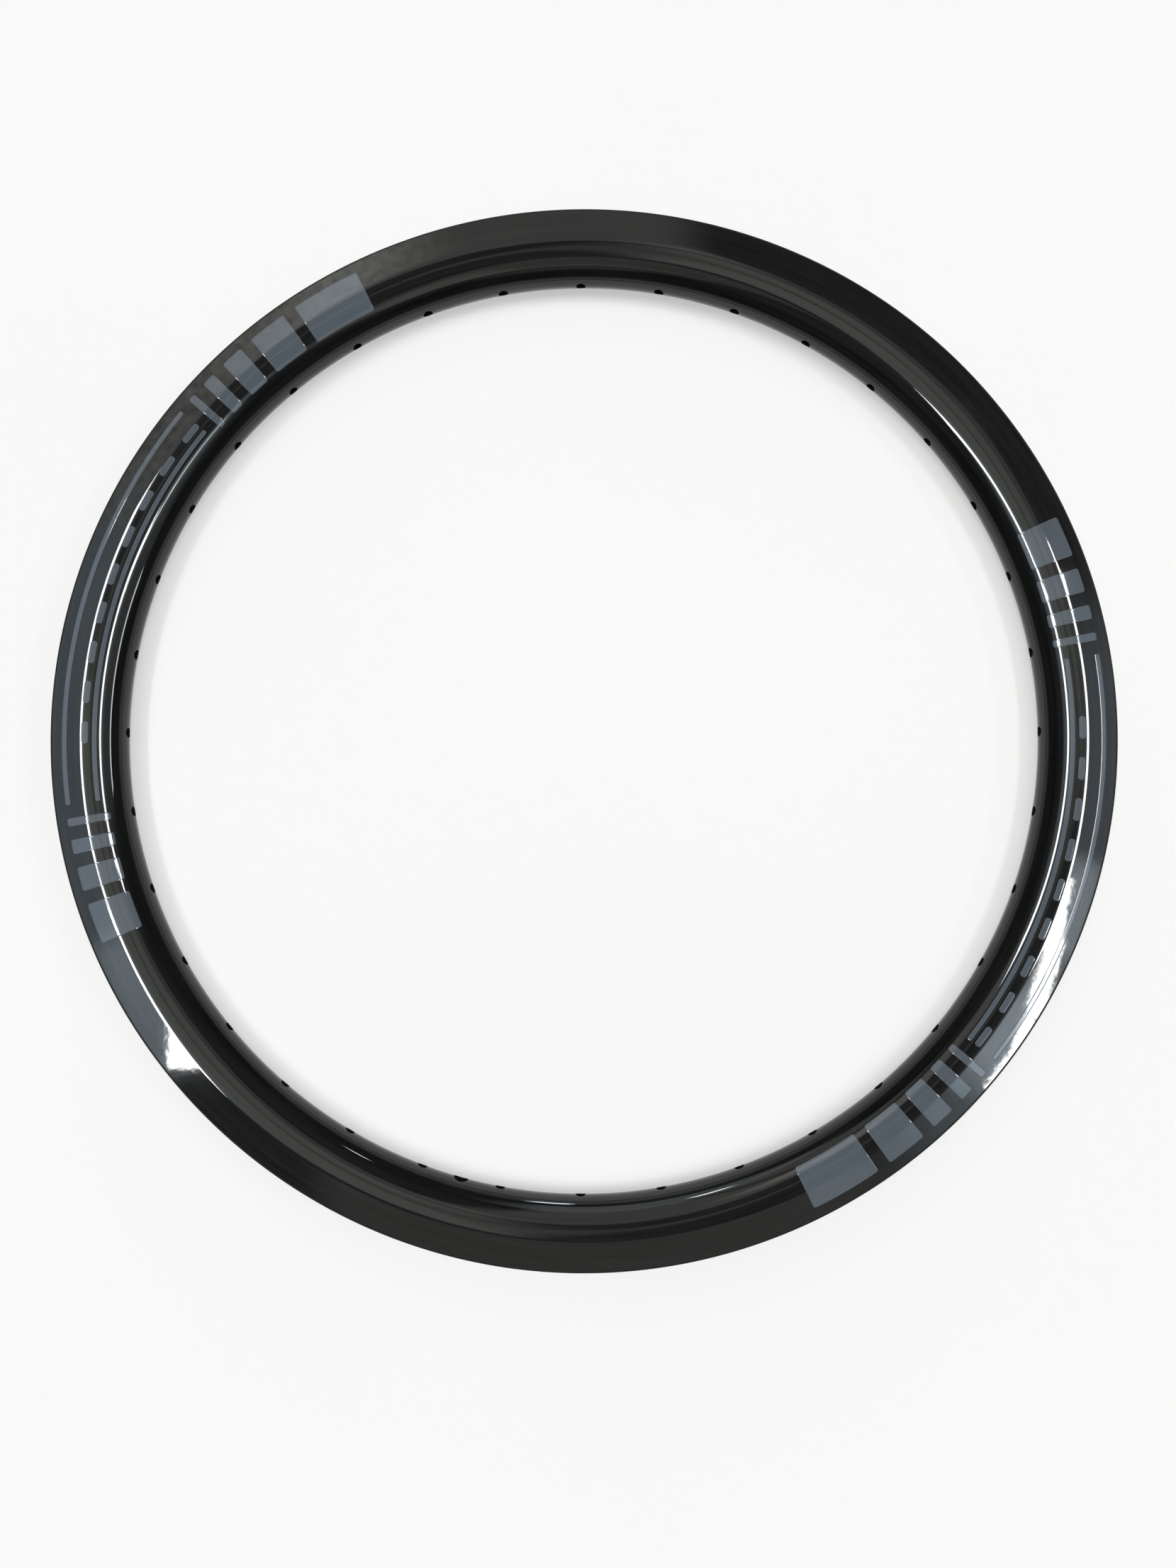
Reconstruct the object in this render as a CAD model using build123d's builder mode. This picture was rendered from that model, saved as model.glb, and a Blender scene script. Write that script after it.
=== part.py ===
from build123d import *
from math import atan2, tan
import os

os.makedirs("parts", exist_ok=True)

# A hollow bicycle rim, lying flat: the wheel axis is Z and the origin is the wheel centre.

# Overall section
bead_seat_diameter = 451.0
flange_height = 6.0
rim_width = 23.0
rim_depth = 30.0

# Outer side: a flat brake track on each side, and half an ellipse for both flanks and the nose
brake_track_height = 12.3
lip_radius = 1.1

# Tyre side: hooked flanges, bead seats and a centre well
flange_wall = 2.4
hook_reach = 0.8
hook_height = 2.0
hook_radius = 0.6
bead_seat_width = 3.0
bead_corner_radius = 0.8
well_depth = 3.0
well_slope_width = 1.8
well_radius = 1.2

# Walls of the hollow box below the tyre
side_wall = 1.8
nose_wall = 2.7
tyre_bed_wall = 1.6
cavity_corner_radius = 1.0

# Drilling: one spoke hole and one nipple access hole per spoke, and a valve hole between two spokes
spoke_count = 36
spoke_hole_diameter = 4.4
access_hole_diameter = 8.5
valve_hole_diameter = 6.5
valve_gap = 25

# Radii and half widths that follow from the sizes above
bead_seat_radius = bead_seat_diameter / 2
outer_radius = bead_seat_radius + flange_height
crown_radius = outer_radius - rim_depth
track_end = outer_radius - brake_track_height
nose_length = track_end - crown_radius
well_floor = bead_seat_radius - well_depth
half_width = rim_width / 2
flange_inside = half_width - flange_wall
hook_inside = flange_inside - hook_reach
seat_edge = flange_inside - bead_seat_width
well_edge = seat_edge - well_slope_width

# The cavity keeps the wall thickness along the sloped side of the well
cavity_side = half_width - side_wall
cavity_crown = crown_radius + nose_wall
cavity_length = track_end - cavity_crown
roof_shift = tyre_bed_wall * tan(atan2(well_depth, well_slope_width) / 2)
roof_seat = bead_seat_radius - tyre_bed_wall
roof_well = well_floor - tyre_bed_wall

# The access hole ends inside the cavity, where the spoke hole goes on
cavity_middle = (cavity_crown + roof_well) / 2
spoke_pitch = 360 / spoke_count
valve_angle = (valve_gap + 0.5) * spoke_pitch
drill_depth = rim_depth + spoke_hole_diameter
valve_depth = rim_depth + valve_hole_diameter

with BuildPart() as rim:
    with BuildSketch(Plane.XZ):
        # Outer skin: one track and half the tyre bed, mirrored, and the ellipse that joins the two tracks
        with BuildLine():
            FilletPolyline(
                (track_end, half_width),
                (outer_radius, half_width),
                (outer_radius, hook_inside),
                (outer_radius - hook_height, hook_inside),
                (outer_radius - hook_height - hook_reach, flange_inside),
                (bead_seat_radius, flange_inside),
                (bead_seat_radius, seat_edge),
                (well_floor, well_edge),
                (well_floor, 0),
                radius=(
                    lip_radius,
                    hook_radius,
                    hook_radius,
                    hook_radius,
                    bead_corner_radius,
                    well_radius,
                    well_radius,
                ),
            )
            mirror(about=Plane.XZ)
            EllipticalCenterArc((track_end, 0), nose_length, half_width, start_angle=90, arc_size=180)
        make_face()

        # Hollow box between the tyre bed, the two flanks and the nose
        with BuildLine():
            FilletPolyline(
                (track_end, cavity_side),
                (roof_seat, cavity_side),
                (roof_seat, seat_edge + roof_shift),
                (roof_well, well_edge + roof_shift),
                (roof_well, 0),
                radius=cavity_corner_radius,
            )
            mirror(about=Plane.XZ)
            EllipticalCenterArc((track_end, 0), cavity_length, cavity_side, start_angle=90, arc_size=180)
        make_face(mode=Mode.SUBTRACT)
    revolve(axis=Axis.Z)

    # Spoke holes in the nose, each drilled through a wider access hole in the tyre bed
    with PolarLocations(outer_radius, spoke_count):
        with Locations(Location((0, 0, 0), (0, 90, 0))):
            CounterBoreHole(
                spoke_hole_diameter / 2,
                access_hole_diameter / 2,
                counter_bore_depth=outer_radius - cavity_middle,
                depth=drill_depth,
            )

    # Valve hole, through both walls, half way between two spokes
    with PolarLocations(outer_radius, 1, start_angle=valve_angle):
        with Locations(Location((0, 0, 0), (0, 90, 0))):
            Hole(valve_hole_diameter / 2, depth=valve_depth)

rim.part.label = "rim"
export_step(rim.part, "parts/rim.step")
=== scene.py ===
"""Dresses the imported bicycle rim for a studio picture.

The rim is a hollow hoop of lacquered carbon-fibre laminate with slate-grey film trim on both sides.
It lies flat on a pale floor, under two long strip lights and a dim ceiling.
"""

import logging
import math
from collections.abc import Iterable
from dataclasses import dataclass
from enum import Enum
from typing import Any

import bmesh
import bpy
import numpy as np
from mathutils import Matrix, Vector


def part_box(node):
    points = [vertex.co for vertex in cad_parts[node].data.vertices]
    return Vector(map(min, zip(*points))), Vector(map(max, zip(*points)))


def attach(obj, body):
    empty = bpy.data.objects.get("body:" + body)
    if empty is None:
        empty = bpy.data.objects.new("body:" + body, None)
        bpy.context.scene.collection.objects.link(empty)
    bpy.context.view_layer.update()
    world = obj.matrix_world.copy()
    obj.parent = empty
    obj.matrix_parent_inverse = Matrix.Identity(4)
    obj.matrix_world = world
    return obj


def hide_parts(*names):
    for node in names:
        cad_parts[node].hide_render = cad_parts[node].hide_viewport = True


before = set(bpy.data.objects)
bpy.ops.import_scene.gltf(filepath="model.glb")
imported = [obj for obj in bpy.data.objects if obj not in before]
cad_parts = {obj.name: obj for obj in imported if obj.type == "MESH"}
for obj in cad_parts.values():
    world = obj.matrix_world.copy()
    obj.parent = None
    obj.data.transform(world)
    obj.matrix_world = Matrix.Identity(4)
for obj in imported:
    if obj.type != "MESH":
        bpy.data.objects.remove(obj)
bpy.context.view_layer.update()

log = logging.getLogger("bicycle_rim")

MM = 0.001
IMAGE_HEIGHT = 2212
BODY = "root"
FILM_THICKNESS = 0.06 * MM
FILM_STARTS_DEG = {"left": 116.0, "right": 296.0}
# Noise seldom leaves this range, so a pattern is spread over it.
NOISE_LOW = 0.3
NOISE_HIGH = 0.7
SOFT_EDGE = {"interpolation_type": "SMOOTHSTEP"}


def linear(hex_colour: str) -> tuple[float, float, float, float]:
    """Turns an sRGB hex colour into the linear colour that a socket takes.

    Args:
        hex_colour: A colour such as "#1a2b3c".

    Returns:
        Red, green and blue in linear light, and an alpha of one.
    """
    channels = [int(hex_colour[i:i + 2], 16) / 255 for i in (1, 3, 5)]
    red, green, blue = [c / 12.92 if c <= 0.04045 else ((c + 0.055) / 1.055) ** 2.4 for c in channels]
    return red, green, blue, 1.0


def add_node(
    tree: bpy.types.NodeTree,
    kind: str,
    settings: dict[str, Any] | None = None,
    inputs: dict[str | int, Any] | None = None,
) -> bpy.types.Node:
    """Adds one node, sets its properties, and sets or links its inputs.

    Args:
        tree: The node tree that takes the node.
        kind: The node's type name.
        settings: Values of the node's own properties.
        inputs: A value, or an output socket to link, for each named or numbered input.

    Returns:
        The new node.
    """
    node = tree.nodes.new(kind)
    for name, value in (settings or {}).items():
        setattr(node, name, value)
    for name, value in (inputs or {}).items():
        if isinstance(value, bpy.types.NodeSocket):
            tree.links.new(value, node.inputs[name])
        else:
            node.inputs[name].default_value = value
    return node


def new_material(name: str) -> tuple[bpy.types.Material, bpy.types.NodeTree]:
    """Makes an empty node material.

    Args:
        name: The material's name.

    Returns:
        The material and its node tree, with no nodes in it.
    """
    material = bpy.data.materials.new(name)
    material.use_nodes = True
    material.node_tree.nodes.clear()
    return material, material.node_tree


class Zone(Enum):
    """Parts of the hoop's surface with a finish of their own, by material slot."""

    LACQUERED = 0
    BARE = 1


@dataclass(frozen=True)
class LaminateFinish:
    """Carbon-fibre laminate, moulded with its fibres along the hoop, bare or under clear gloss lacquer."""

    name: str
    fibre: str
    resin: str
    specular: float
    smooth: float
    rough: float
    lacquer: float = 1.0
    lacquer_roughness: float = 0.025
    lacquer_ior: float = 1.5
    peel_width_mm: float = 3.0
    peel_depth_mm: float = 0.003
    tow_width_mm: float = 1.8
    tow_length_mm: float = 55.0
    hoop_radius_mm: float = 216.0

    def streaks(self, tree: bpy.types.NodeTree, place: bpy.types.NodeSocket) -> bpy.types.NodeSocket:
        """Adds the fibres' faint streaks along the hoop.

        Args:
            tree: The material's nodes.
            place: Where on the rim, in metres.

        Returns:
            The streaks, as a value from zero to one.
        """
        axes = add_node(tree, "ShaderNodeSeparateXYZ", None, {"Vector": place}).outputs
        level = {"X": axes["X"], "Y": axes["Y"]}
        flat = add_node(tree, "ShaderNodeCombineXYZ", None, level).outputs["Vector"]
        radius = add_node(tree, "ShaderNodeVectorMath", {"operation": "LENGTH"}, {0: flat}).outputs["Value"]
        turn = add_node(tree, "ShaderNodeVectorMath", {"operation": "NORMALIZE"}, {0: flat}).outputs["Vector"]
        # The noise is sampled on a hoop whose length is counted in tow lengths, and whose radius and height
        # are counted in tow widths. Real filaments are far finer than a pixel, so the streaks are drawn as
        # coarse as they need to be to show.
        along = {0: turn, "Scale": self.hoop_radius_mm / self.tow_length_mm}
        hoop = add_node(tree, "ShaderNodeVectorMath", {"operation": "SCALE"}, along).outputs["Vector"]
        width = self.tow_width_mm * MM
        divide = {"operation": "DIVIDE"}
        across = add_node(tree, "ShaderNodeMath", divide, {0: radius, 1: width}).outputs["Value"]
        layer = add_node(tree, "ShaderNodeMath", divide, {0: axes["Z"], 1: width}).outputs["Value"]
        lift = add_node(tree, "ShaderNodeCombineXYZ", None, {"Z": across}).outputs["Vector"]
        both = {0: hoop, 1: lift}
        grid = add_node(tree, "ShaderNodeVectorMath", {"operation": "ADD"}, both).outputs["Vector"]
        grain = {"Vector": grid, "W": layer, "Scale": 1.0, "Detail": 2.0, "Roughness": 0.6}
        noise = add_node(tree, "ShaderNodeTexNoise", {"noise_dimensions": "4D"}, grain).outputs["Fac"]
        spread = {"Value": noise, "From Min": NOISE_LOW, "From Max": NOISE_HIGH}
        return add_node(tree, "ShaderNodeMapRange", None, spread).outputs["Result"]

    def material(self) -> bpy.types.Material:
        """Builds the material: a black fibre ground with a faint hoop grain, and its lacquer if it has one.

        Returns:
            The finished material.
        """
        material, tree = new_material(self.name)
        place = add_node(tree, "ShaderNodeTexCoord").outputs["Object"]
        streaks = self.streaks(tree, place)
        blend = {"Factor": streaks, 6: linear(self.fibre), 7: linear(self.resin)}
        ground = add_node(tree, "ShaderNodeMix", {"data_type": "RGBA"}, blend).outputs[2]
        # Resin lies smoother than fibre.
        levels = {"Value": streaks, "To Min": self.rough, "To Max": self.smooth}
        roughness = add_node(tree, "ShaderNodeMapRange", None, levels).outputs["Result"]
        # Sprayed lacquer keeps a trace of orange peel: waves a few millimetres long and a few thousandths
        # of a millimetre deep.
        waves = {"Vector": place, "Scale": 1 / (self.peel_width_mm * MM), "Detail": 1.0}
        wave = add_node(tree, "ShaderNodeTexNoise", None, waves).outputs["Fac"]
        relief = {"Height": wave, "Strength": 1.0, "Distance": self.peel_depth_mm * MM}
        peel = add_node(tree, "ShaderNodeBump", None, relief).outputs["Normal"]
        shader = add_node(
            tree,
            "ShaderNodeBsdfPrincipled",
            None,
            {
                "Base Color": ground,
                "Roughness": roughness,
                "Specular IOR Level": self.specular,
                "Coat Weight": self.lacquer,
                "Coat Roughness": self.lacquer_roughness,
                "Coat IOR": self.lacquer_ior,
                "Coat Normal": peel,
            },
        )
        add_node(tree, "ShaderNodeOutputMaterial", None, {"Surface": shader.outputs["BSDF"]})
        return material


# Black fibre under mirror-smooth lacquer: the tracks, flanks and nose show little but what they reflect.
LACQUERED_FINISH = LaminateFinish(
    name="lacquered_carbon_laminate",
    fibre="#040505",
    resin="#161616",
    specular=0.03,
    smooth=0.32,
    rough=0.5,
)
# The tyre side, the lips and the holes are left as moulded and drilled: bare satin laminate, with a soft
# sheen.
BARE_FINISH = LaminateFinish(
    name="bare_moulded_carbon_laminate",
    fibre="#111212",
    resin="#20201e",
    specular=0.25,
    smooth=0.36,
    rough=0.52,
    lacquer=0.0,
)


@dataclass(frozen=True)
class FilmFinish:
    """Cast vinyl film, die cut, with a pigment of slate grey and a gloss face."""

    pigment: str = "#50585f"
    pale_pigment: str = "#565e66"
    face_roughness: float = 0.03
    film_ior: float = 1.5
    body_roughness: float = 0.5
    mottle_mm: float = 9.0

    def material(self) -> bpy.types.Material:
        """Builds the material: an even slate grey, a little cloudy, with a clear gloss of its own.

        Returns:
            The finished material.
        """
        material, tree = new_material("cast_slate_vinyl_film")
        # Cast film is even to the eye: its pigment varies by a few parts in a hundred over a centimetre.
        place = add_node(tree, "ShaderNodeTexCoord").outputs["Object"]
        mottle = add_node(
            tree,
            "ShaderNodeTexNoise",
            None,
            {"Vector": place, "Scale": 1 / (self.mottle_mm * MM), "Detail": 2.0},
        ).outputs["Fac"]
        colour = add_node(
            tree,
            "ShaderNodeMix",
            {"data_type": "RGBA"},
            {"Factor": mottle, 6: linear(self.pigment), 7: linear(self.pale_pigment)},
        )
        shader = add_node(
            tree,
            "ShaderNodeBsdfPrincipled",
            None,
            {
                "Base Color": colour.outputs[2],
                "Roughness": self.body_roughness,
                "Specular IOR Level": 0.0,
                "Coat Weight": 1.0,
                "Coat Roughness": self.face_roughness,
                "Coat IOR": self.film_ior,
            },
        )
        add_node(tree, "ShaderNodeOutputMaterial", None, {"Surface": shader.outputs["BSDF"]})
        return material


@dataclass(frozen=True)
class FloorFinish:
    """Painted studio floor: matt white paint, rolled on."""

    paint: str = "#fbfbfa"
    shade: str = "#f8f8f7"
    patch_mm: float = 400.0
    own_white: float = 0.5
    roughness: float = 0.9
    specular: float = 0.1

    def material(self) -> bpy.types.Material:
        """Builds the material: matt white, with the broad faint cloudiness of rolled paint.

        Returns:
            The finished material.
        """
        material, tree = new_material("rolled_matt_white_paint")
        place = add_node(tree, "ShaderNodeTexCoord").outputs["Object"]
        cloud = add_node(
            tree, "ShaderNodeTexNoise", None, {"Vector": place, "Scale": 1 / (self.patch_mm * MM)}
        ).outputs["Fac"]
        colour = add_node(
            tree,
            "ShaderNodeMix",
            {"data_type": "RGBA"},
            {"Factor": cloud, 6: linear(self.paint), 7: linear(self.shade)},
        )
        shader = add_node(
            tree,
            "ShaderNodeBsdfPrincipled",
            None,
            {
                "Base Color": colour.outputs[2],
                "Roughness": self.roughness,
                "Specular IOR Level": self.specular,
            },
        )
        # To the eye and in gloss, half of the paint's white is its own, so that the rim's shadow stays pale.
        path = add_node(tree, "ShaderNodeLightPath").outputs
        either = {"operation": "ADD", "use_clamp": True}
        seen = path["Is Camera Ray"]
        for ray in ("Is Glossy Ray", "Is Transmission Ray"):
            seen = add_node(tree, "ShaderNodeMath", either, {0: seen, 1: path[ray]}).outputs["Value"]
        own = {0: seen, 1: self.own_white}
        share = add_node(tree, "ShaderNodeMath", {"operation": "MULTIPLY"}, own).outputs["Value"]
        white = add_node(tree, "ShaderNodeEmission", None, {"Color": colour.outputs[2]}).outputs["Emission"]
        blend = {0: share, 1: shader.outputs["BSDF"], 2: white}
        surface = add_node(tree, "ShaderNodeMixShader", None, blend).outputs["Shader"]
        add_node(tree, "ShaderNodeOutputMaterial", None, {"Surface": surface})
        material.cycles.emission_sampling = "NONE"
        return material


@dataclass(frozen=True)
class Contour:
    """A closed line in the section plane, with the solid's surface direction at each point."""

    points: np.ndarray
    normals: np.ndarray

    def reversed(self) -> "Contour":
        """Gives the same line as the wall of a hollow, run the other way and facing the other way."""
        return Contour(self.points[::-1], -self.normals[::-1])


def rounded(corners: list[tuple[float, float]], radii: list[float], steps: int) -> Contour:
    """Rounds the inner corners of an open line that keeps the solid on its left.

    Args:
        corners: The line's points, as radius and height.
        radii: The fillet radius at each point but the first and the last.
        steps: How many spans each fillet gets.

    Returns:
        The rounded line, with exact surface directions along it.
    """
    points, normals = [], []
    line = [np.array(c) for c in corners]
    first = (line[1] - line[0]) / np.linalg.norm(line[1] - line[0])
    points.append(line[0])
    normals.append(np.array([first[1], -first[0]]))
    for before, corner, after, radius in zip(line, line[1:], line[2:], radii):
        entry = (corner - before) / np.linalg.norm(corner - before)
        leave = (after - corner) / np.linalg.norm(after - corner)
        turn = math.atan2(entry[0] * leave[1] - entry[1] * leave[0], float(entry @ leave))
        side = math.copysign(1.0, turn)
        start = corner - entry * radius * math.tan(abs(turn) / 2)
        centre = start + side * radius * np.array([-entry[1], entry[0]])
        for step in range(steps + 1):
            angle = turn * step / steps
            cos, sin = math.cos(angle), math.sin(angle)
            out = np.array([entry[1], -entry[0]])
            normal = np.array([cos * out[0] - sin * out[1], sin * out[0] + cos * out[1]])
            points.append(centre + side * radius * normal)
            normals.append(normal)
    last = (line[-1] - line[-2]) / np.linalg.norm(line[-1] - line[-2])
    points.append(line[-1])
    normals.append(np.array([last[1], -last[0]]))
    return Contour(np.array(points), np.array(normals))


@dataclass(frozen=True)
class RimSection:
    """The rim's cross-section in metres, as radius from the wheel axis and height from the middle plane."""

    outer_radius: float
    half_width: float
    depth: float = 30.0 * MM
    track_height: float = 12.3 * MM
    lip_radius: float = 1.1 * MM
    flange_height: float = 6.0 * MM
    flange_wall: float = 2.4 * MM
    hook_reach: float = 0.8 * MM
    hook_height: float = 2.0 * MM
    hook_radius: float = 0.6 * MM
    bead_seat_width: float = 3.0 * MM
    bead_corner_radius: float = 0.8 * MM
    well_depth: float = 3.0 * MM
    well_slope_width: float = 1.8 * MM
    well_radius: float = 1.2 * MM
    side_wall: float = 1.8 * MM
    nose_wall: float = 2.7 * MM
    bed_wall: float = 1.6 * MM
    cavity_corner_radius: float = 1.0 * MM
    fillet_steps: int = 8
    nose_steps: int = 88
    cavity_steps: int = 40

    @property
    def crown(self) -> float:
        """Radius of the nose's innermost line."""
        return self.outer_radius - self.depth

    @property
    def track_end(self) -> float:
        """Radius at which the flat brake track ends and the flank begins."""
        return self.outer_radius - self.track_height

    @property
    def seat(self) -> float:
        """Radius of the bead seats."""
        return self.outer_radius - self.flange_height

    @property
    def well_floor(self) -> float:
        """Radius of the centre well's floor."""
        return self.seat - self.well_depth

    @property
    def cavity_middle(self) -> float:
        """Radius half way through the hollow box."""
        return (self.crown + self.nose_wall + self.well_floor - self.bed_wall) / 2

    def close(self, half: Contour, length: float, height: float, steps: int) -> Contour:
        """Closes a half line with an elliptical nose and the half line's mirror image.

        Args:
            half: The upper half, from the middle plane to the end of the track.
            length: The nose's reach from the end of the track.
            height: The nose's half height.
            steps: How many spans the nose gets.

        Returns:
            The whole closed line.
        """
        angles = np.linspace(math.pi / 2, 3 * math.pi / 2, steps + 1)[1:-1]
        nose = np.column_stack([self.track_end + length * np.cos(angles), height * np.sin(angles)])
        slope = np.column_stack([np.cos(angles) / length, np.sin(angles) / height])
        slope /= np.linalg.norm(slope, axis=1)[:, None]
        flip = np.array([1.0, -1.0])
        points = np.vstack([half.points, nose, half.points[:0:-1] * flip])
        normals = np.vstack([half.normals, slope, half.normals[:0:-1] * flip])
        return Contour(points, normals)

    def skin(self) -> Contour:
        """Draws the outer skin: well, bead seats, hooked flanges, brake tracks, flanks and nose.

        Returns:
            The skin's closed line.
        """
        inside = self.half_width - self.flange_wall
        hook = inside - self.hook_reach
        seat_edge = inside - self.bead_seat_width
        well_edge = seat_edge - self.well_slope_width
        hook_top = self.outer_radius - self.hook_height
        half = rounded(
            [
                (self.well_floor, 0.0),
                (self.well_floor, well_edge),
                (self.seat, seat_edge),
                (self.seat, inside),
                (hook_top - self.hook_reach, inside),
                (hook_top, hook),
                (self.outer_radius, hook),
                (self.outer_radius, self.half_width),
                (self.track_end, self.half_width),
            ],
            [
                self.well_radius,
                self.well_radius,
                self.bead_corner_radius,
                self.hook_radius,
                self.hook_radius,
                self.hook_radius,
                self.lip_radius,
            ],
            self.fillet_steps,
        )
        return self.close(half, self.track_end - self.crown, self.half_width, self.nose_steps)

    def cavity(self) -> Contour:
        """Draws the hollow box inside the skin.

        Returns:
            The closed line of the box's wall, which faces into the hollow.
        """
        seat_edge = self.half_width - self.flange_wall - self.bead_seat_width
        slope = math.atan2(self.well_depth, self.well_slope_width)
        shift = self.bed_wall * math.tan(slope / 2)
        side = self.half_width - self.side_wall
        roof_well = self.well_floor - self.bed_wall
        roof_seat = self.seat - self.bed_wall
        half = rounded(
            [
                (roof_well, 0.0),
                (roof_well, seat_edge - self.well_slope_width + shift),
                (roof_seat, seat_edge + shift),
                (roof_seat, side),
                (self.track_end, side),
            ],
            [self.cavity_corner_radius] * 3,
            self.fillet_steps // 2,
        )
        length = self.track_end - self.crown - self.nose_wall
        return self.close(half, length, side, self.cavity_steps).reversed()

    def upper_face(self, radius: float) -> tuple[float, float, float]:
        """Finds the upper face at a radius on the track or the flank.

        Args:
            radius: A radius between the crown and the lip.

        Returns:
            The height there, and the surface direction as its radial and upward parts.
        """
        length = self.track_end - self.crown
        cos = min(0.0, (radius - self.track_end) / length)
        sin = math.sqrt(1.0 - cos * cos)
        slope = np.array([cos / length, sin / self.half_width])
        slope /= np.linalg.norm(slope)
        return self.half_width * sin, float(slope[0]), float(slope[1])


def set_normals(mesh: bpy.types.Mesh, normals: np.ndarray) -> None:
    """Gives a mesh smooth shading with an exact surface direction at each face corner.

    Args:
        mesh: The mesh.
        normals: One direction for each face corner.
    """
    mesh.shade_smooth()
    mesh.normals_split_custom_set(normals.tolist())


@dataclass(frozen=True)
class Drill:
    """One round hole, drilled along a radius of the wheel."""

    azimuth: float
    radius: float
    start: float
    end: float
    sides: int = 48

    @property
    def axis(self) -> np.ndarray:
        """Direction of the hole, outward from the wheel axis."""
        return np.array([math.cos(self.azimuth), math.sin(self.azimuth), 0.0])

    def cut_into(self, bm: bmesh.types.BMesh) -> None:
        """Adds the hole's cylinder to a mesh of cutters.

        Args:
            bm: The mesh that collects the cutters.
        """
        middle = Vector(self.axis) * (self.start + self.end) / 2
        turn = Matrix.Rotation(self.azimuth, 4, "Z") @ Matrix.Rotation(math.pi / 2, 4, "Y")
        bmesh.ops.create_cone(
            bm,
            cap_ends=True,
            segments=self.sides,
            radius1=self.radius,
            radius2=self.radius,
            depth=self.end - self.start,
            matrix=Matrix.Translation(middle) @ turn,
        )


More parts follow.
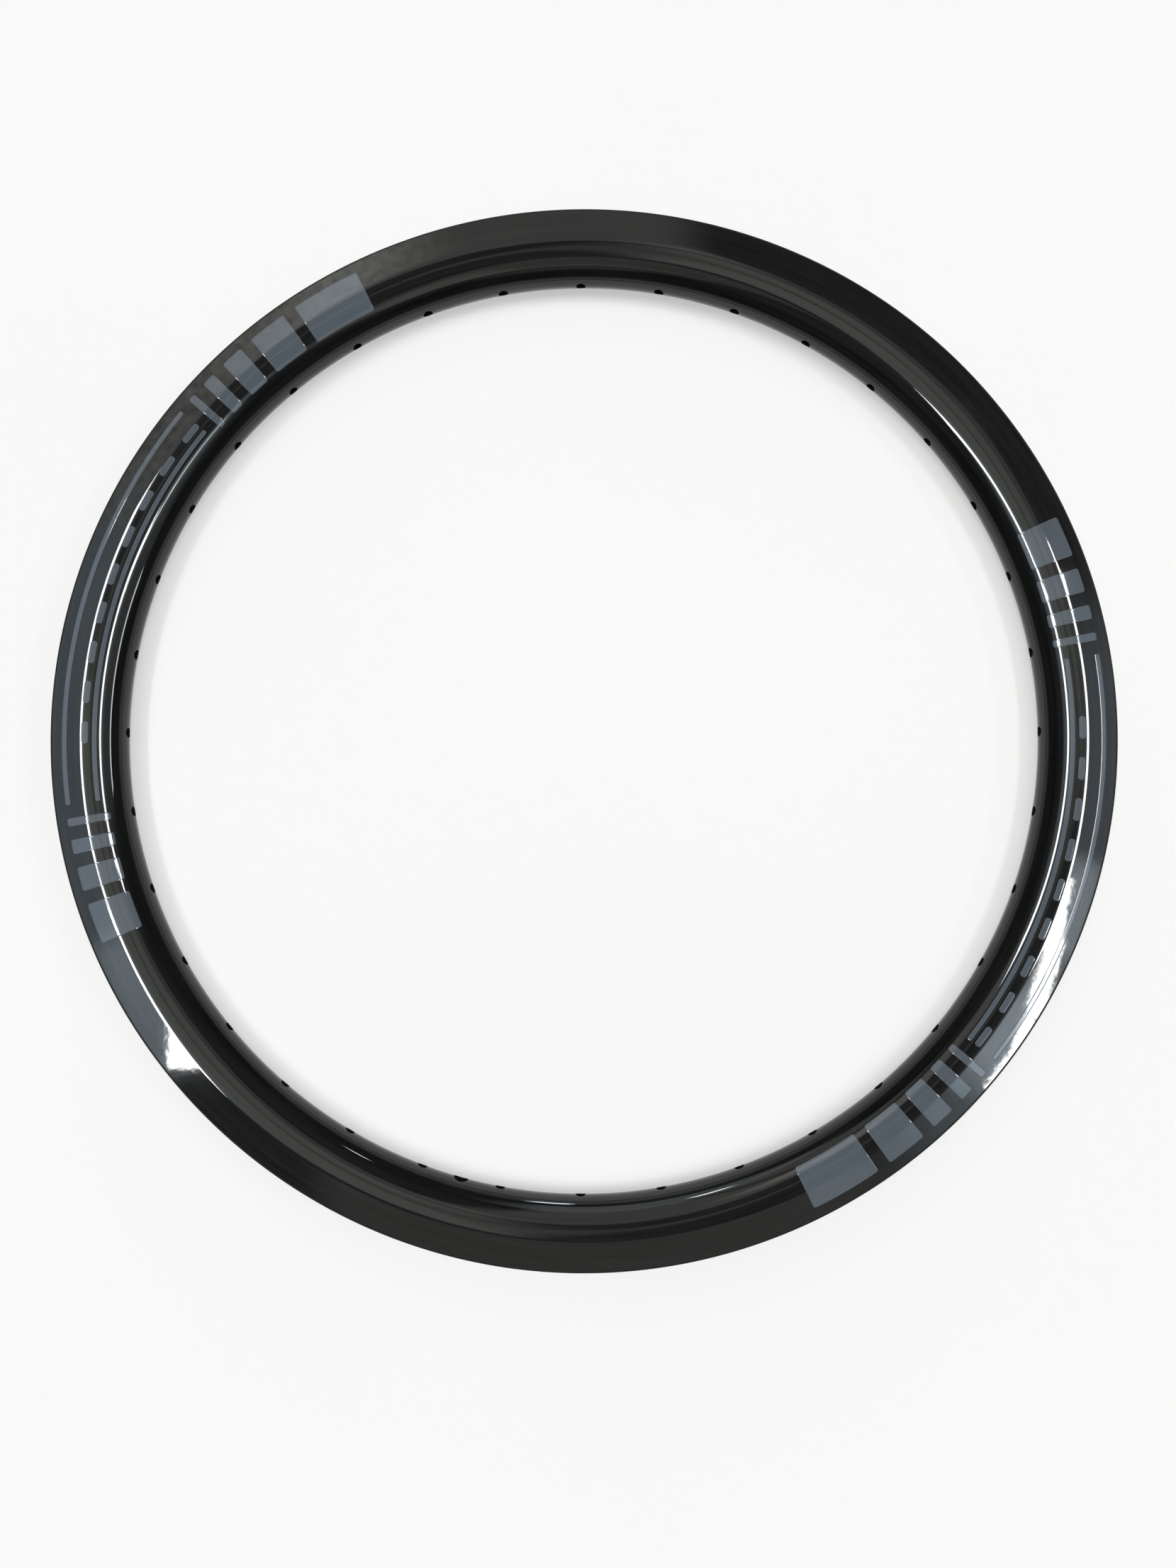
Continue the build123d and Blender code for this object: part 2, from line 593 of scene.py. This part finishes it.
@dataclass
class LaminateHoop:
    """The rim itself: the section revolved, with its spoke, nipple access and valve holes."""

    section: RimSection
    finishes: dict[Zone, LaminateFinish]
    spoke_count: int = 36
    spoke_hole_radius: float = 2.2 * MM
    access_hole_radius: float = 4.25 * MM
    valve_hole_radius: float = 3.25 * MM
    valve_azimuth_deg: float = 255.0
    reach: float = 5.0 * MM
    skin_turns: int = 360
    cavity_turns: int = 180
    # Margins that sort the drilled mesh's faces by where they lie and how they slant
    hole_margin: float = 1.02
    hole_slant: float = 0.3
    nose_margin: float = 0.985
    track_margin: float = 0.02 * MM
    # How many points are set against the section at once
    batch: int = 4000

    def drills(self) -> list[Drill]:
        """Lists the holes: a spoke hole and an access hole for each spoke, and one valve hole.

        Returns:
            The holes, with the valve's last. It goes through both walls.
        """
        inner = self.section.crown - self.reach
        outer = self.section.outer_radius + self.reach
        middle = self.section.cavity_middle
        step = self.spoke_hole_radius / 2
        holes = []
        for spoke in range(self.spoke_count):
            azimuth = spoke * math.tau / self.spoke_count
            holes.append(Drill(azimuth, self.spoke_hole_radius, inner, middle - step))
            holes.append(Drill(azimuth, self.access_hole_radius, middle + step, outer))
        holes.append(Drill(math.radians(self.valve_azimuth_deg), self.valve_hole_radius, inner, outer))
        return holes

    def revolve(self, bm: bmesh.types.BMesh, contour: Contour, turns: int) -> None:
        """Revolves a closed line about the wheel axis.

        Args:
            bm: The mesh that takes the surface.
            contour: The closed line.
            turns: How many spans go round the hoop.
        """
        rings = []
        for turn in range(turns):
            angle = math.tau * turn / turns
            cos, sin = math.cos(angle), math.sin(angle)
            rings.append([bm.verts.new((r * cos, r * sin, z)) for r, z in contour.points])
        count = len(contour.points)
        for turn in range(turns):
            here, there = rings[turn], rings[(turn + 1) % turns]
            for i in range(count):
                j = (i + 1) % count
                bm.faces.new((here[i], there[i], there[j], here[j]))

    def drilled(self, blank: bpy.types.Object, cutter: bpy.types.Object) -> bpy.types.Mesh:
        """Takes the cutters out of the blank.

        Args:
            blank: The undrilled hoop.
            cutter: All the holes' cylinders as one object.

        Returns:
            The drilled mesh.
        """
        drilling = blank.modifiers.new("drilling", "BOOLEAN")
        drilling.operation = "DIFFERENCE"
        drilling.solver = "MANIFOLD"
        drilling.object = cutter
        graph = bpy.context.evaluated_depsgraph_get()
        return bpy.data.meshes.new_from_object(blank.evaluated_get(graph))

    def shade(self, mesh: bpy.types.Mesh, contours: Iterable[Contour], holes: list[Drill]) -> None:
        """Gives every face corner the true surface direction of the skin, the hollow or a hole's wall.

        Args:
            mesh: The drilled mesh.
            contours: The lines that were revolved.
            holes: The holes that were drilled.
        """
        count = len(mesh.loops)
        corner_vertex = np.empty(count, int)
        mesh.loops.foreach_get("vertex_index", corner_vertex)
        place = np.empty(len(mesh.vertices) * 3)
        mesh.vertices.foreach_get("co", place)
        place = place.reshape(-1, 3)
        normals = self.turned_normals(place, contours)[corner_vertex]
        centres = np.array([face.center for face in mesh.polygons])
        facing = np.array([face.normal for face in mesh.polygons])
        sizes = np.array([face.loop_total for face in mesh.polygons])
        face_of_corner = np.repeat(np.arange(len(sizes)), sizes)
        for hole in holes:
            axis = hole.axis
            depth = centres @ axis
            offset = np.linalg.norm(centres - depth[:, None] * axis, axis=1)
            wall = (depth > hole.start) & (depth < hole.end) & (offset < self.hole_margin * hole.radius)
            wall &= np.abs(facing @ axis) < self.hole_slant
            chosen = np.flatnonzero(wall[face_of_corner])
            corner = place[corner_vertex[chosen]]
            toward = (corner @ axis)[:, None] * axis - corner
            normals[chosen] = toward / np.linalg.norm(toward, axis=1)[:, None]
        set_normals(mesh, normals)

    def turned_normals(self, place: np.ndarray, contours: Iterable[Contour]) -> np.ndarray:
        """Finds the revolved surface's direction at points on it.

        Args:
            place: The points.
            contours: The lines that were revolved.

        Returns:
            One direction for each point.
        """
        starts, spans, first, second = [], [], [], []
        for contour in contours:
            starts.append(contour.points)
            spans.append(np.roll(contour.points, -1, axis=0) - contour.points)
            first.append(contour.normals)
            second.append(np.roll(contour.normals, -1, axis=0))
        start, span = np.vstack(starts), np.vstack(spans)
        first, second = np.vstack(first), np.vstack(second)
        squared = np.sum(span * span, axis=1)
        radius = np.hypot(place[:, 0], place[:, 1])
        flat = np.empty((len(place), 2))
        for begin in range(0, len(place), self.batch):
            part = slice(begin, begin + self.batch)
            point = np.column_stack([radius[part], place[part, 2]])
            gap = point[:, None, :] - start[None]
            share = np.clip(np.sum(gap * span[None], axis=2) / squared, 0.0, 1.0)
            miss = np.sum((gap - share[..., None] * span[None]) ** 2, axis=2)
            nearest = np.argmin(miss, axis=1)
            mix = share[np.arange(len(point)), nearest][:, None]
            flat[part] = (1 - mix) * first[nearest] + mix * second[nearest]
        flat /= np.linalg.norm(flat, axis=1)[:, None]
        turn = place[:, :2] / radius[:, None]
        return np.column_stack([flat[:, :1] * turn, flat[:, 1]])

    def zones(self, mesh: bpy.types.Mesh) -> np.ndarray:
        """Sorts the faces by finish, from where they lie on the section.

        Args:
            mesh: The drilled mesh.

        Returns:
            The material slot of each face.
        """
        section = self.section
        centres = np.array([face.center for face in mesh.polygons])
        radius, height = np.hypot(centres[:, 0], centres[:, 1]), np.abs(centres[:, 2])
        length = section.track_end - section.crown
        round_the_nose = np.hypot((section.track_end - radius) / length, height / section.half_width)
        flank = (radius < section.track_end) & (round_the_nose > self.nose_margin)
        lip = section.outer_radius - section.lip_radius
        track = (radius >= section.track_end - self.track_margin) & (radius < lip)
        track &= height > section.half_width - self.track_margin
        return np.where(flank | track, Zone.LACQUERED.value, Zone.BARE.value)

    def build(self) -> bpy.types.Object:
        """Builds the hoop, drills it, dresses it and puts it in the place of the CAD node.

        Returns:
            The finished hoop.
        """
        skin, cavity = self.section.skin(), self.section.cavity()
        holes = self.drills()
        bm = bmesh.new()
        self.revolve(bm, skin, self.skin_turns)
        self.revolve(bm, cavity, self.cavity_turns)
        blank = link_mesh("rim_blank", bm)
        bm = bmesh.new()
        for hole in holes:
            hole.cut_into(bm)
        cutter = link_mesh("rim_drills", bm)
        mesh = self.drilled(blank, cutter)
        for scrap in (blank, cutter):
            bpy.data.objects.remove(scrap)
        mesh.name = "laminate_hoop"
        self.shade(mesh, (skin, cavity), holes)
        mesh.materials.clear()
        for zone in Zone:
            mesh.materials.append(self.finishes[zone].material())
        mesh.polygons.foreach_set("material_index", self.zones(mesh))
        hoop = bpy.data.objects.new("laminate_hoop", mesh)
        bpy.context.scene.collection.objects.link(hoop)
        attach(hoop, BODY)
        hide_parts("rim")
        return hoop


def link_mesh(name: str, bm: bmesh.types.BMesh) -> bpy.types.Object:
    """Turns a bmesh into a linked object and frees it.

    Args:
        name: The object's name.
        bm: The mesh data.

    Returns:
        The new object.
    """
    mesh = bpy.data.meshes.new(name)
    bm.to_mesh(mesh)
    bm.free()
    piece = bpy.data.objects.new(name, mesh)
    bpy.context.scene.collection.objects.link(piece)
    return piece


class Band(Enum):
    """Parts of the rim's side that a piece of film can cover, as shares of the outer radius."""

    FULL = (0.900, 0.978)
    OUTER_LINE = (0.968, 0.977)
    MIDDLE_ROW = (0.928, 0.940)
    INNER_LINE = (0.913, 0.921)


class Side(Enum):
    """The rim's two sides, as the sign of their height."""

    UPPER = 1
    LOWER = -1


@dataclass(frozen=True)
class FilmPatch:
    """One die-cut piece of film: a stretch of the hoop, as degrees from the set's start, within one band."""

    start: float
    end: float
    band: Band
    corner_mm: float = 1.0


@dataclass
class FilmSet:
    """A set of film pieces on one side: graded bars at both ends and hoop lines between them."""

    name: str
    section: RimSection
    finish: bpy.types.Material
    azimuth_deg: float
    side: Side
    thickness: float = FILM_THICKNESS
    edge_share: float = 0.1
    shoulder: float = 0.3 * MM
    pitch: float = 0.6 * MM
    bar_gap_deg: float = 1.5
    head_bars_deg: tuple[float, ...] = (8.0, 4.6, 2.7, 1.6, 0.9)
    tail_bars_deg: tuple[float, ...] = (0.9, 1.6, 2.7, 4.6)
    line_length_deg: float = 47.0
    line_corner_mm: float = 0.6
    dash_length_deg: float = 2.6
    dash_pitch_deg: float = 4.7
    dash_corner_mm: float = 1.2
    corner_steps: tuple[float, ...] = (0.0, 0.08, 0.3, 0.6, 1.0)
    corner_limit: float = 0.48
    face_slant: float = 0.4

    def patches(self) -> list[FilmPatch]:
        """Lays out the set: wide to narrow bars, two hoop lines round a row of dashes, narrow to wide bars.

        Returns:
            The pieces of film, in order round the hoop.
        """
        pieces, at = [], 0.0
        for width in self.head_bars_deg:
            pieces.append(FilmPatch(at, at + width, Band.FULL))
            at += width + self.bar_gap_deg
        stop = at + self.line_length_deg
        for band in (Band.OUTER_LINE, Band.INNER_LINE):
            pieces.append(FilmPatch(at, stop, band, self.line_corner_mm))
        dash_count = int(self.line_length_deg // self.dash_pitch_deg)
        for dash in range(dash_count):
            begin = at + dash * self.dash_pitch_deg
            end = begin + self.dash_length_deg
            pieces.append(FilmPatch(begin, end, Band.MIDDLE_ROW, self.dash_corner_mm))
        at = stop + self.bar_gap_deg
        for width in self.tail_bars_deg:
            pieces.append(FilmPatch(at, at + width, Band.FULL))
            at += width + self.bar_gap_deg
        return pieces

    def stations(self, span: float, corner: float) -> np.ndarray:
        """Spaces the lines of a piece's mesh: evenly in its middle, closer at its corners and shoulders.

        Args:
            span: The piece's size in this direction, in metres.
            corner: The radius of its corners.

        Returns:
            Distances from one edge, from zero to the span.
        """
        close = np.array(self.corner_steps) * max(corner, self.shoulder)
        close = close[close < self.corner_limit * span]
        inner = np.linspace(close[-1], span - close[-1], max(2, round(span / self.pitch)))
        return np.concatenate([close, inner[1:-1], span - close[::-1]])

    def lift(self, gap: float) -> float:
        """Gives the film's height over the rim at a distance from its cut edge, as the lacquer drapes it."""
        fall = min(1.0, max(0.0, 1.0 - gap / self.shoulder))
        return self.thickness * max(self.edge_share, math.sqrt(1.0 - fall * fall))

    def add_patch(self, bm: bmesh.types.BMesh, patch: FilmPatch) -> None:
        """Lays one piece of film on the rim, with rounded corners and a draped edge.

        Args:
            bm: The mesh that takes the film.
            patch: The piece.
        """
        low, high = [share * self.section.outer_radius for share in patch.band.value]
        corner = patch.corner_mm * MM
        mean = (low + high) / 2
        length = math.radians(patch.end - patch.start) * mean
        columns = self.stations(length, corner)
        rows = self.stations(high - low, corner)
        sign = self.side.value
        top, bottom = [], []
        for column in columns:
            from_end = min(column, length - column)
            missing = max(0.0, corner - from_end)
            inset = corner - math.sqrt(max(0.0, corner * corner - missing * missing))
            angle = math.radians(self.azimuth_deg + patch.start) + column / mean
            cos, sin = math.cos(angle), math.sin(angle)
            face_row, back_row = [], []
            for row in rows:
                radius = low + inset + row * (1 - 2 * inset / (high - low))
                from_side = min(radius - low, high - radius) - inset
                height, out, up = self.section.upper_face(radius)
                base = Vector((radius * cos, radius * sin, sign * height))
                direction = Vector((out * cos, out * sin, sign * up))
                face_row.append(bm.verts.new(base + self.lift(min(from_end, from_side)) * direction))
                back_row.append(bm.verts.new(base))
            top.append(face_row)
            bottom.append(back_row)
        last, edge = len(columns) - 1, len(rows) - 1
        faces = []
        for i in range(last):
            for j in range(edge):
                faces.append((top[i + 1][j], top[i + 1][j + 1], top[i][j + 1], top[i][j]))
                faces.append((bottom[i][j], bottom[i][j + 1], bottom[i + 1][j + 1], bottom[i + 1][j]))
            faces.append((bottom[i][0], bottom[i + 1][0], top[i + 1][0], top[i][0]))
            faces.append((top[i][edge], top[i + 1][edge], bottom[i + 1][edge], bottom[i][edge]))
        for j in range(edge):
            faces.append((top[0][j], top[0][j + 1], bottom[0][j + 1], bottom[0][j]))
            faces.append((bottom[last][j], bottom[last][j + 1], top[last][j + 1], top[last][j]))
        for corners in faces:
            bm.faces.new(corners[::sign])

    def build(self) -> bpy.types.Object:
        """Builds the film set, shades its face smoothly and lays it on the rim.

        Returns:
            The finished set.
        """
        bm = bmesh.new()
        for patch in self.patches():
            self.add_patch(bm, patch)
        film = link_mesh(self.name, bm)
        mesh = film.data
        facing = np.array([face.normal for face in mesh.polygons])
        area = np.array([face.area for face in mesh.polygons])
        corner_vertex = np.array([loop.vertex_index for loop in mesh.loops])
        corner_face = np.repeat(np.arange(len(area)), [face.loop_total for face in mesh.polygons])
        outward = facing[:, 2] * self.side.value > self.face_slant
        smooth = np.zeros((len(mesh.vertices), 3))
        shown = outward[corner_face]
        weighted = facing * area[:, None]
        np.add.at(smooth, corner_vertex[shown], weighted[corner_face[shown]])
        normals = facing[corner_face]
        mean = smooth[corner_vertex[shown]]
        normals[shown] = mean / np.linalg.norm(mean, axis=1)[:, None]
        set_normals(mesh, normals)
        mesh.materials.append(self.finish)
        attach(film, BODY)
        return film


@dataclass(frozen=True)
class CeilingLamp:
    """A flat lamp that hangs level over the rim. Places and sizes are shares of the ceiling's height."""

    name: str
    across: float
    along: float
    width: float
    length: float
    radiance: float
    turn_deg: float = 0.0
    tint: str = "#ffffff"
    in_reflections: bool = True


@dataclass(frozen=True)
class SoftPanel:
    """A pale patch of even or blotched ceiling with a soft edge, in shares of the ceiling's height."""

    across: float
    along: float
    half_width: float
    half_length: float
    softness: float
    radiance: float
    tint: str
    turn_deg: float = 0.0
    blotched: bool = False

    def added(
        self,
        tree: bpy.types.NodeTree,
        spot: bpy.types.NodeSocket,
        plaster: bpy.types.NodeSocket,
        glow: bpy.types.NodeSocket,
    ) -> bpy.types.NodeSocket:
        """Adds the panel's light to the room's.

        Args:
            tree: The room's nodes.
            spot: Where on the ceiling, across and along.
            plaster: How bright blotched plaster is there.
            glow: The light without this panel.

        Returns:
            The light with this panel.
        """
        shift = {
            "Vector": spot,
            "Location": (self.across, self.along, 0.0),
            "Rotation": (0.0, 0.0, math.radians(self.turn_deg)),
        }
        beside = add_node(tree, "ShaderNodeMapping", {"vector_type": "TEXTURE"}, shift).outputs[0]
        beside = add_node(tree, "ShaderNodeVectorMath", {"operation": "ABSOLUTE"}, {0: beside}).outputs[0]
        half = {0: beside, 1: (self.half_width, self.half_length, 0.0)}
        beside = add_node(tree, "ShaderNodeVectorMath", {"operation": "SUBTRACT"}, half).outputs[0]
        outside = {0: beside, 1: (0.0, 0.0, 0.0)}
        beside = add_node(tree, "ShaderNodeVectorMath", {"operation": "MAXIMUM"}, outside).outputs[0]
        gap = add_node(tree, "ShaderNodeVectorMath", {"operation": "LENGTH"}, {0: beside}).outputs["Value"]
        full = plaster if self.blotched else 1.0
        edge = {"Value": gap, "From Max": self.softness, "To Min": full, "To Max": 0.0}
        cover = add_node(tree, "ShaderNodeMapRange", SOFT_EDGE, edge).outputs["Result"]
        light = [self.radiance * channel for channel in linear(self.tint)[:3]]
        total = {0: cover, 1: light, 2: glow}
        return add_node(tree, "ShaderNodeVectorMath", {"operation": "MULTIPLY_ADD"}, total).outputs[0]


@dataclass
class Studio:
    """The floor, the lamps, the dim room and the camera at the photograph's place."""

    floor_height: float
    upper_face: float
    rim_radius: float
    finish: FloorFinish
    ceiling: float = 40.0
    floor_size: float = 600.0
    camera_place: tuple[float, float, float] = (0.0501, -0.2044, 2.1936)
    camera_pitch: float = -0.0469
    camera_yaw: float = -0.0162
    focal_pixels: float = 1660.0
    sensor: float = 36.0
    clip_start: float = 0.01
    clip_end: float = 1000.0
    lamps: tuple[CeilingLamp, ...] = (
        CeilingLamp("left_strip", -0.337, 0.0335, 0.074, 0.463, 26.0),
        CeilingLamp("left_strip_end", -0.363, -0.178, 0.028, 0.040, 26.0),
        CeilingLamp("right_strip", 0.3464, 0.070, 0.076, 0.320, 26.0, -3.0),
        CeilingLamp("right_hook_start", 0.385, -0.0675, 0.012, 0.068, 26.0, -12.2),
        CeilingLamp("right_hook_bend", 0.3728, -0.116, 0.016, 0.066, 26.0, -17.5),
        CeilingLamp("right_hook_turn", 0.3555, -0.1615, 0.011, 0.039, 26.0, -27.3),
        CeilingLamp("right_hook_tip", 0.3355, -0.1945, 0.007, 0.047, 26.0, -37.1),
        CeilingLamp("overhead_fill", 0.0, 0.0, 0.8, 0.8, 1.35, tint="#fff2f7", in_reflections=False),
    )
    panels: tuple[SoftPanel, ...] = (
        SoftPanel(-0.400, 0.060, 0.080, 0.160, 0.13, 1.20, "#dcf0ff"),
        SoftPanel(0.370, -0.060, 0.045, 0.180, 0.12, 0.90, "#e4f4ff"),
        SoftPanel(0.320, -0.190, 0.030, 0.040, 0.08, 0.60, "#e2fbff"),
        SoftPanel(-0.394, -0.140, 0.004, 0.045, 0.035, 2.10, "#e0f4ff", 24.0),
        SoftPanel(0.337, -0.160, 0.012, 0.020, 0.060, 3.60, "#e4f4ff", -33.0),
        SoftPanel(0.394, -0.060, 0.004, 0.030, 0.025, 3.20, "#e4f4ff", -12.0),
        SoftPanel(-0.270, 0.490, 0.050, 0.040, 0.10, 0.50, "#fdfff4", blotched=True),
        SoftPanel(0.078, 0.171, 0.062, 0.068, 0.05, 0.50, "#f8fff4", -7.0),
        SoftPanel(0.146, 0.228, 0.123, 0.132, 0.05, 0.45, "#f8fff4", -7.0),
        SoftPanel(-0.194, -0.037, 0.132, 0.123, 0.05, 1.05, "#f8fff4", -7.0),
        SoftPanel(-0.100, 0.790, 0.140, 0.440, 0.06, 0.66, "#fcfff6"),
        SoftPanel(-0.330, 0.420, 0.100, 0.070, 0.12, 0.95, "#fdfff4", blotched=True),
        SoftPanel(-0.470, 0.950, 0.110, 0.260, 0.10, 0.70, "#fcfff4"),
        SoftPanel(-0.280, 1.750, 0.300, 0.450, 0.25, 1.10, "#f0faff"),
        SoftPanel(0.030, -0.500, 0.240, 0.200, 0.06, 0.40, "#f8fff0"),
        SoftPanel(0.220, -0.520, 0.080, 0.100, 0.10, 0.50, "#f8fff0"),
        SoftPanel(0.000, -0.850, 0.100, 0.150, 0.15, 0.25, "#f8fff0"),
        SoftPanel(0.700, -0.050, 0.200, 0.220, 0.15, 0.38, "#eafcf6"),
        SoftPanel(1.030, 0.000, 0.055, 0.250, 0.02, 12.0, "#f2f8ff"),
        SoftPanel(0.508, 1.175, 0.015, 0.015, 0.03, 25.0, "#fffaf0"),
        SoftPanel(-0.382, 1.378, 0.030, 0.040, 0.04, 25.0, "#f4faff"),
        SoftPanel(0.160, 5.000, 0.120, 0.900, 0.12, 18.0, "#ecfaff"),
    )
    ceiling_radiance: float = 0.11
    wall_radiance: float = 0.04
    lowest_rise: float = 0.05
    wall_start: float = 0.6
    wall_end: float = 1.2
    horizon_radiance: float = 0.80
    horizon_top: float = 0.34
    plaster_mm: float = 320.0
    plaster_depth: float = 0.7

    def build_floor(self) -> bpy.types.Object:
        """Lays the floor that the rim rests on.

        Returns:
            The floor.
        """
        bm = bmesh.new()
        bmesh.ops.create_grid(bm, x_segments=1, y_segments=1, size=self.floor_size / 2)
        floor = link_mesh("studio_floor", bm)
        floor.location.z = self.floor_height
        floor.data.materials.append(self.finish.material())
        return floor

    def build_lamps(self) -> None:
        """Hangs the ceiling lamps."""
        for lamp in self.lamps:
            light = bpy.data.lights.new(lamp.name, "AREA")
            light.shape = "RECTANGLE"
            light.size = lamp.width * self.ceiling
            light.size_y = lamp.length * self.ceiling
            light.energy = lamp.radiance * math.pi * light.size * light.size_y
            light.color = linear(lamp.tint)[:3]
            holder = bpy.data.objects.new(lamp.name, light)
            holder.location = (lamp.across * self.ceiling, lamp.along * self.ceiling, self.ceiling)
            holder.rotation_euler.z = math.radians(lamp.turn_deg)
            holder.visible_glossy = lamp.in_reflections
            bpy.context.scene.collection.objects.link(holder)

    def build_room(self) -> None:
        """Makes the room: a dim ceiling with soft pale panels, dark walls and a pale glow along the floor."""
        world = bpy.data.worlds.new("dim_room")
        world.use_nodes = True
        tree = world.node_tree
        tree.nodes.clear()
        place = add_node(tree, "ShaderNodeTexCoord").outputs["Generated"]
        up = add_node(tree, "ShaderNodeSeparateXYZ", None, {"Vector": place}).outputs["Z"]
        # Seen from the rim, a spot on the ceiling lies across and along it in shares of the ceiling's height.
        least = {0: up, 1: self.lowest_rise}
        height = add_node(tree, "ShaderNodeMath", {"operation": "MAXIMUM"}, least).outputs["Value"]
        ratio = {0: place, 1: height}
        spot = add_node(tree, "ShaderNodeVectorMath", {"operation": "DIVIDE"}, ratio).outputs[0]
        level = {0: spot, 1: (1.0, 1.0, 0.0)}
        spot = add_node(tree, "ShaderNodeVectorMath", {"operation": "MULTIPLY"}, level).outputs[0]
        away = add_node(tree, "ShaderNodeVectorMath", {"operation": "LENGTH"}, {0: spot}).outputs["Value"]
        fade = {"Value": away, "From Min": self.wall_start, "From Max": self.wall_end}
        fade |= {"To Min": self.ceiling_radiance, "To Max": self.wall_radiance}
        dim = add_node(tree, "ShaderNodeMapRange", SOFT_EDGE, fade).outputs["Result"]
        rise = {"Value": up, "From Max": self.horizon_top, "To Min": self.horizon_radiance, "To Max": 0.0}
        horizon = add_node(tree, "ShaderNodeMapRange", SOFT_EDGE, rise).outputs["Result"]
        glow = add_node(tree, "ShaderNodeMath", {"operation": "ADD"}, {0: dim, 1: horizon}).outputs["Value"]
        # Some of the ceiling's plaster is blotched, which shows in the flat tracks as a faint marbling.
        scale = self.ceiling / (self.plaster_mm * MM)
        blotch = {"Vector": spot, "Scale": scale, "Detail": 3.0, "Roughness": 0.65}
        plaster = add_node(tree, "ShaderNodeTexNoise", None, blotch).outputs["Fac"]
        spread = {"Value": plaster, "From Min": NOISE_LOW, "From Max": NOISE_HIGH}
        spread |= {"To Min": 1.0 - self.plaster_depth, "To Max": 1.0 + self.plaster_depth}
        plaster = add_node(tree, "ShaderNodeMapRange", None, spread).outputs["Result"]
        for panel in self.panels:
            glow = panel.added(tree, spot, plaster, glow)
        sky = add_node(tree, "ShaderNodeBackground", None, {"Color": glow}).outputs["Background"]
        add_node(tree, "ShaderNodeOutputWorld", None, {"Surface": sky})
        bpy.context.scene.world = world

    def build_camera(self) -> bpy.types.Object:
        """Sets the camera at the photograph's place, a little over five degrees off the wheel axis.

        Returns:
            The camera.
        """
        lens = bpy.data.cameras.new("photo_camera")
        lens.sensor_fit = "VERTICAL"
        lens.sensor_height = self.sensor
        lens.lens = self.focal_pixels / IMAGE_HEIGHT * self.sensor
        lens.clip_start = self.clip_start
        lens.clip_end = self.clip_end
        camera = bpy.data.objects.new("photo_camera", lens)
        look = Matrix.Rotation(self.camera_pitch, 3, "X") @ Matrix.Rotation(self.camera_yaw, 3, "Y")
        place = Vector(self.camera_place) * self.rim_radius + Vector((0.0, 0.0, self.upper_face))
        camera.matrix_world = Matrix.Translation(place) @ look.transposed().to_4x4()
        bpy.context.scene.collection.objects.link(camera)
        bpy.context.scene.camera = camera
        return camera

    def build(self) -> None:
        """Builds the whole studio."""
        self.build_floor()
        self.build_lamps()
        self.build_room()
        self.build_camera()


def main() -> None:
    """Builds the rim, its film trim and the studio."""
    logging.basicConfig(level=logging.INFO, format="%(name)s: %(message)s")
    low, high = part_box("rim")
    section = RimSection(outer_radius=high.x, half_width=high.z)
    finishes = {Zone.LACQUERED: LACQUERED_FINISH, Zone.BARE: BARE_FINISH}
    pieces = [LaminateHoop(section, finishes).build()]
    film = FilmFinish().material()
    for side in Side:
        for name, azimuth in FILM_STARTS_DEG.items():
            trim = FilmSet(f"{side.name.lower()}_{name}_film", section, film, azimuth, side)
            pieces.append(trim.build())
    for piece in pieces:
        log.info("%s has %d faces", piece.name, len(piece.data.polygons))
    Studio(low.z - FILM_THICKNESS, high.z, section.outer_radius, FloorFinish()).build()
    bpy.context.scene.view_settings.view_transform = "Standard"


if __name__ == "__main__":
    main()
